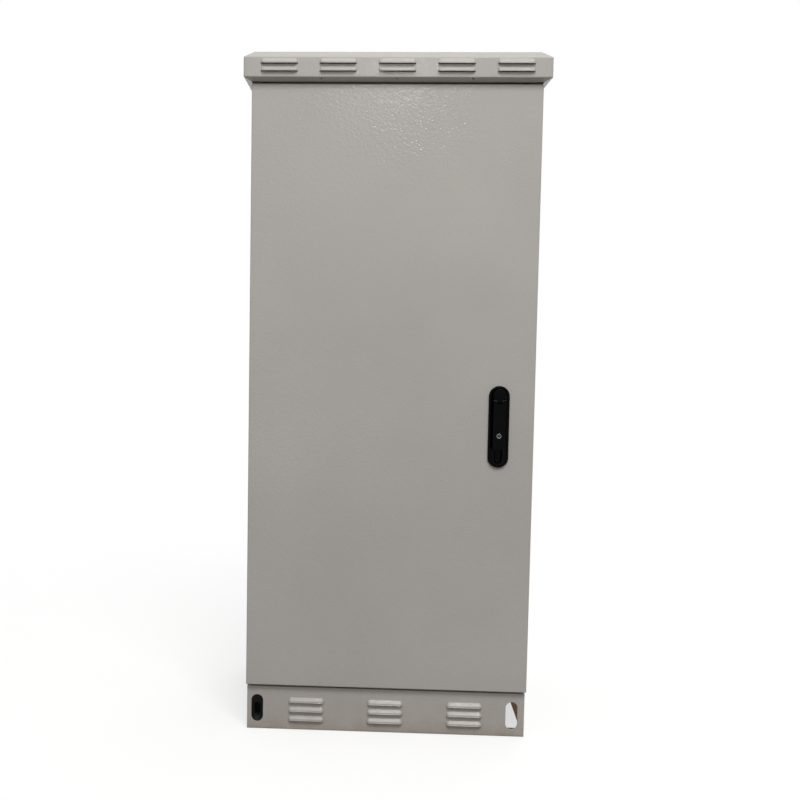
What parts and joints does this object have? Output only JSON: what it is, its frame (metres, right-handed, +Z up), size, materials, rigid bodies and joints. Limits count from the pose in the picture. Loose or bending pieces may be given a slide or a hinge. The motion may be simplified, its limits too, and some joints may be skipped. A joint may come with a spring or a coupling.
{
  "type": "roadside utility cabinet",
  "caption": "Outdoor sheet-steel equipment cabinet on a louvred plinth, with a louvred rain hood and a hinged door closed by a swing handle and a rod lock.",
  "frame": {"origin": "on the ground, under the middle of the overall box", "axes": "+Z up, -Y out of the door's face, +X to the right of someone facing the door"},
  "size_m": [0.632, 0.525, 1.44],
  "materials": {
    "paint": "light warm grey powder coat, fine texture, satin",
    "zinc_steel": "zinc-plated steel, dull",
    "handle_black": "black moulded plastic, fairly glossy",
    "insert_black": "black moulded plastic, matt",
    "rubber": "black rubber, matt",
    "barrel_chrome": "chromed lock barrel"
  },
  "bodies": {
    "cabinet": {"anchor_plate_front_left": "zinc_steel", "anchor_plate_front_right": "zinc_steel", "anchor_plate_rear_left": "zinc_steel", "anchor_plate_rear_right": "zinc_steel", "base_tray": "zinc_steel", "cable_grommet_left": "rubber", "cable_grommet_middle": "rubber", "cable_grommet_right": "rubber", "earth_nut": "zinc_steel", "earth_stud": "zinc_steel", "front_frame": "paint", "gland_plate": "zinc_steel", "gland_screws": "zinc_steel", "hinge_frame_leaf_lower": "zinc_steel", "hinge_frame_leaf_middle": "zinc_steel", "hinge_frame_leaf_upper": "zinc_steel", "hinge_screws": "zinc_steel", "hood_bolts": "zinc_steel", "hood_spacers": "zinc_steel", "left_wall": "paint", "mounting_nuts": "zinc_steel", "mounting_plate": "zinc_steel", "mounting_studs": "zinc_steel", "plinth_bolts": "zinc_steel", "plinth_front_panel": "paint", "plinth_left_panel": "paint", "plinth_nuts": "zinc_steel", "plinth_rear_panel": "paint", "plinth_right_panel": "paint", "plinth_slot_insert": "insert_black", "rain_hood": "paint", "rear_wall": "paint", "right_wall": "paint", "roof_tray": "zinc_steel"},
    "door": {"clamp_screws": "zinc_steel", "door_panel": "paint", "door_seal": "rubber", "door_stiffener_left": "paint", "door_stiffener_right": "paint", "handle_clamp_lower": "zinc_steel", "handle_clamp_upper": "zinc_steel", "handle_dish": "handle_black", "handle_gasket": "rubber", "hinge_door_leaf_lower": "zinc_steel", "hinge_door_leaf_middle": "zinc_steel", "hinge_door_leaf_upper": "zinc_steel", "hinge_pins": "zinc_steel", "lower_rod_guide_end": "zinc_steel", "lower_rod_guide_near": "zinc_steel", "upper_rod_guide_end": "zinc_steel", "upper_rod_guide_near": "zinc_steel"},
    "hub": {"cam_screw": "zinc_steel", "handle_hub": "handle_black", "lever_pin": "zinc_steel", "lock_cam": "zinc_steel"},
    "lever": {"handle_lever": "handle_black"},
    "barrel": {"lock_barrel": "barrel_chrome"},
    "rod_up": {"upper_rod": "zinc_steel"},
    "rod_down": {"lower_rod": "zinc_steel"}
  },
  "joints": [
    {"name": "door_hinge", "type": "hinge", "parent": "cabinet", "child": "door", "pos_m": [-0.29, -0.231, 0.7375], "axis": [0, 0, -1], "range_deg": [0, 105]},
    {"name": "handle_turn", "type": "hinge", "parent": "door", "child": "hub", "pos_m": [0.226, -0.25, 0.7375], "axis": [0, 1, 0], "range_deg": [0, 90]},
    {"name": "lever_lift", "type": "hinge", "parent": "hub", "child": "lever", "pos_m": [0.226, -0.2504, 0.7235], "axis": [-1, 0, 0], "range_deg": [0, 35]},
    {"name": "key_turn", "type": "hinge", "parent": "lever", "child": "barrel", "pos_m": [0.226, -0.2504, 0.651], "axis": [0, 1, 0], "range_deg": [0, 90]},
    {"name": "upper_rod_slide", "type": "slide", "parent": "door", "child": "rod_up", "axis": [0, 0, 1], "range_m": [-0.0227, 0]},
    {"name": "lower_rod_slide", "type": "slide", "parent": "door", "child": "rod_down", "axis": [0, 0, 1], "range_m": [0, 0.0227]}
  ],
  "couplings": [
    {"joint": "upper_rod_slide", "follows": "handle_turn", "m_per_rad": -0.014405},
    {"joint": "lower_rod_slide", "follows": "handle_turn", "m_per_rad": 0.014405}
  ]
}
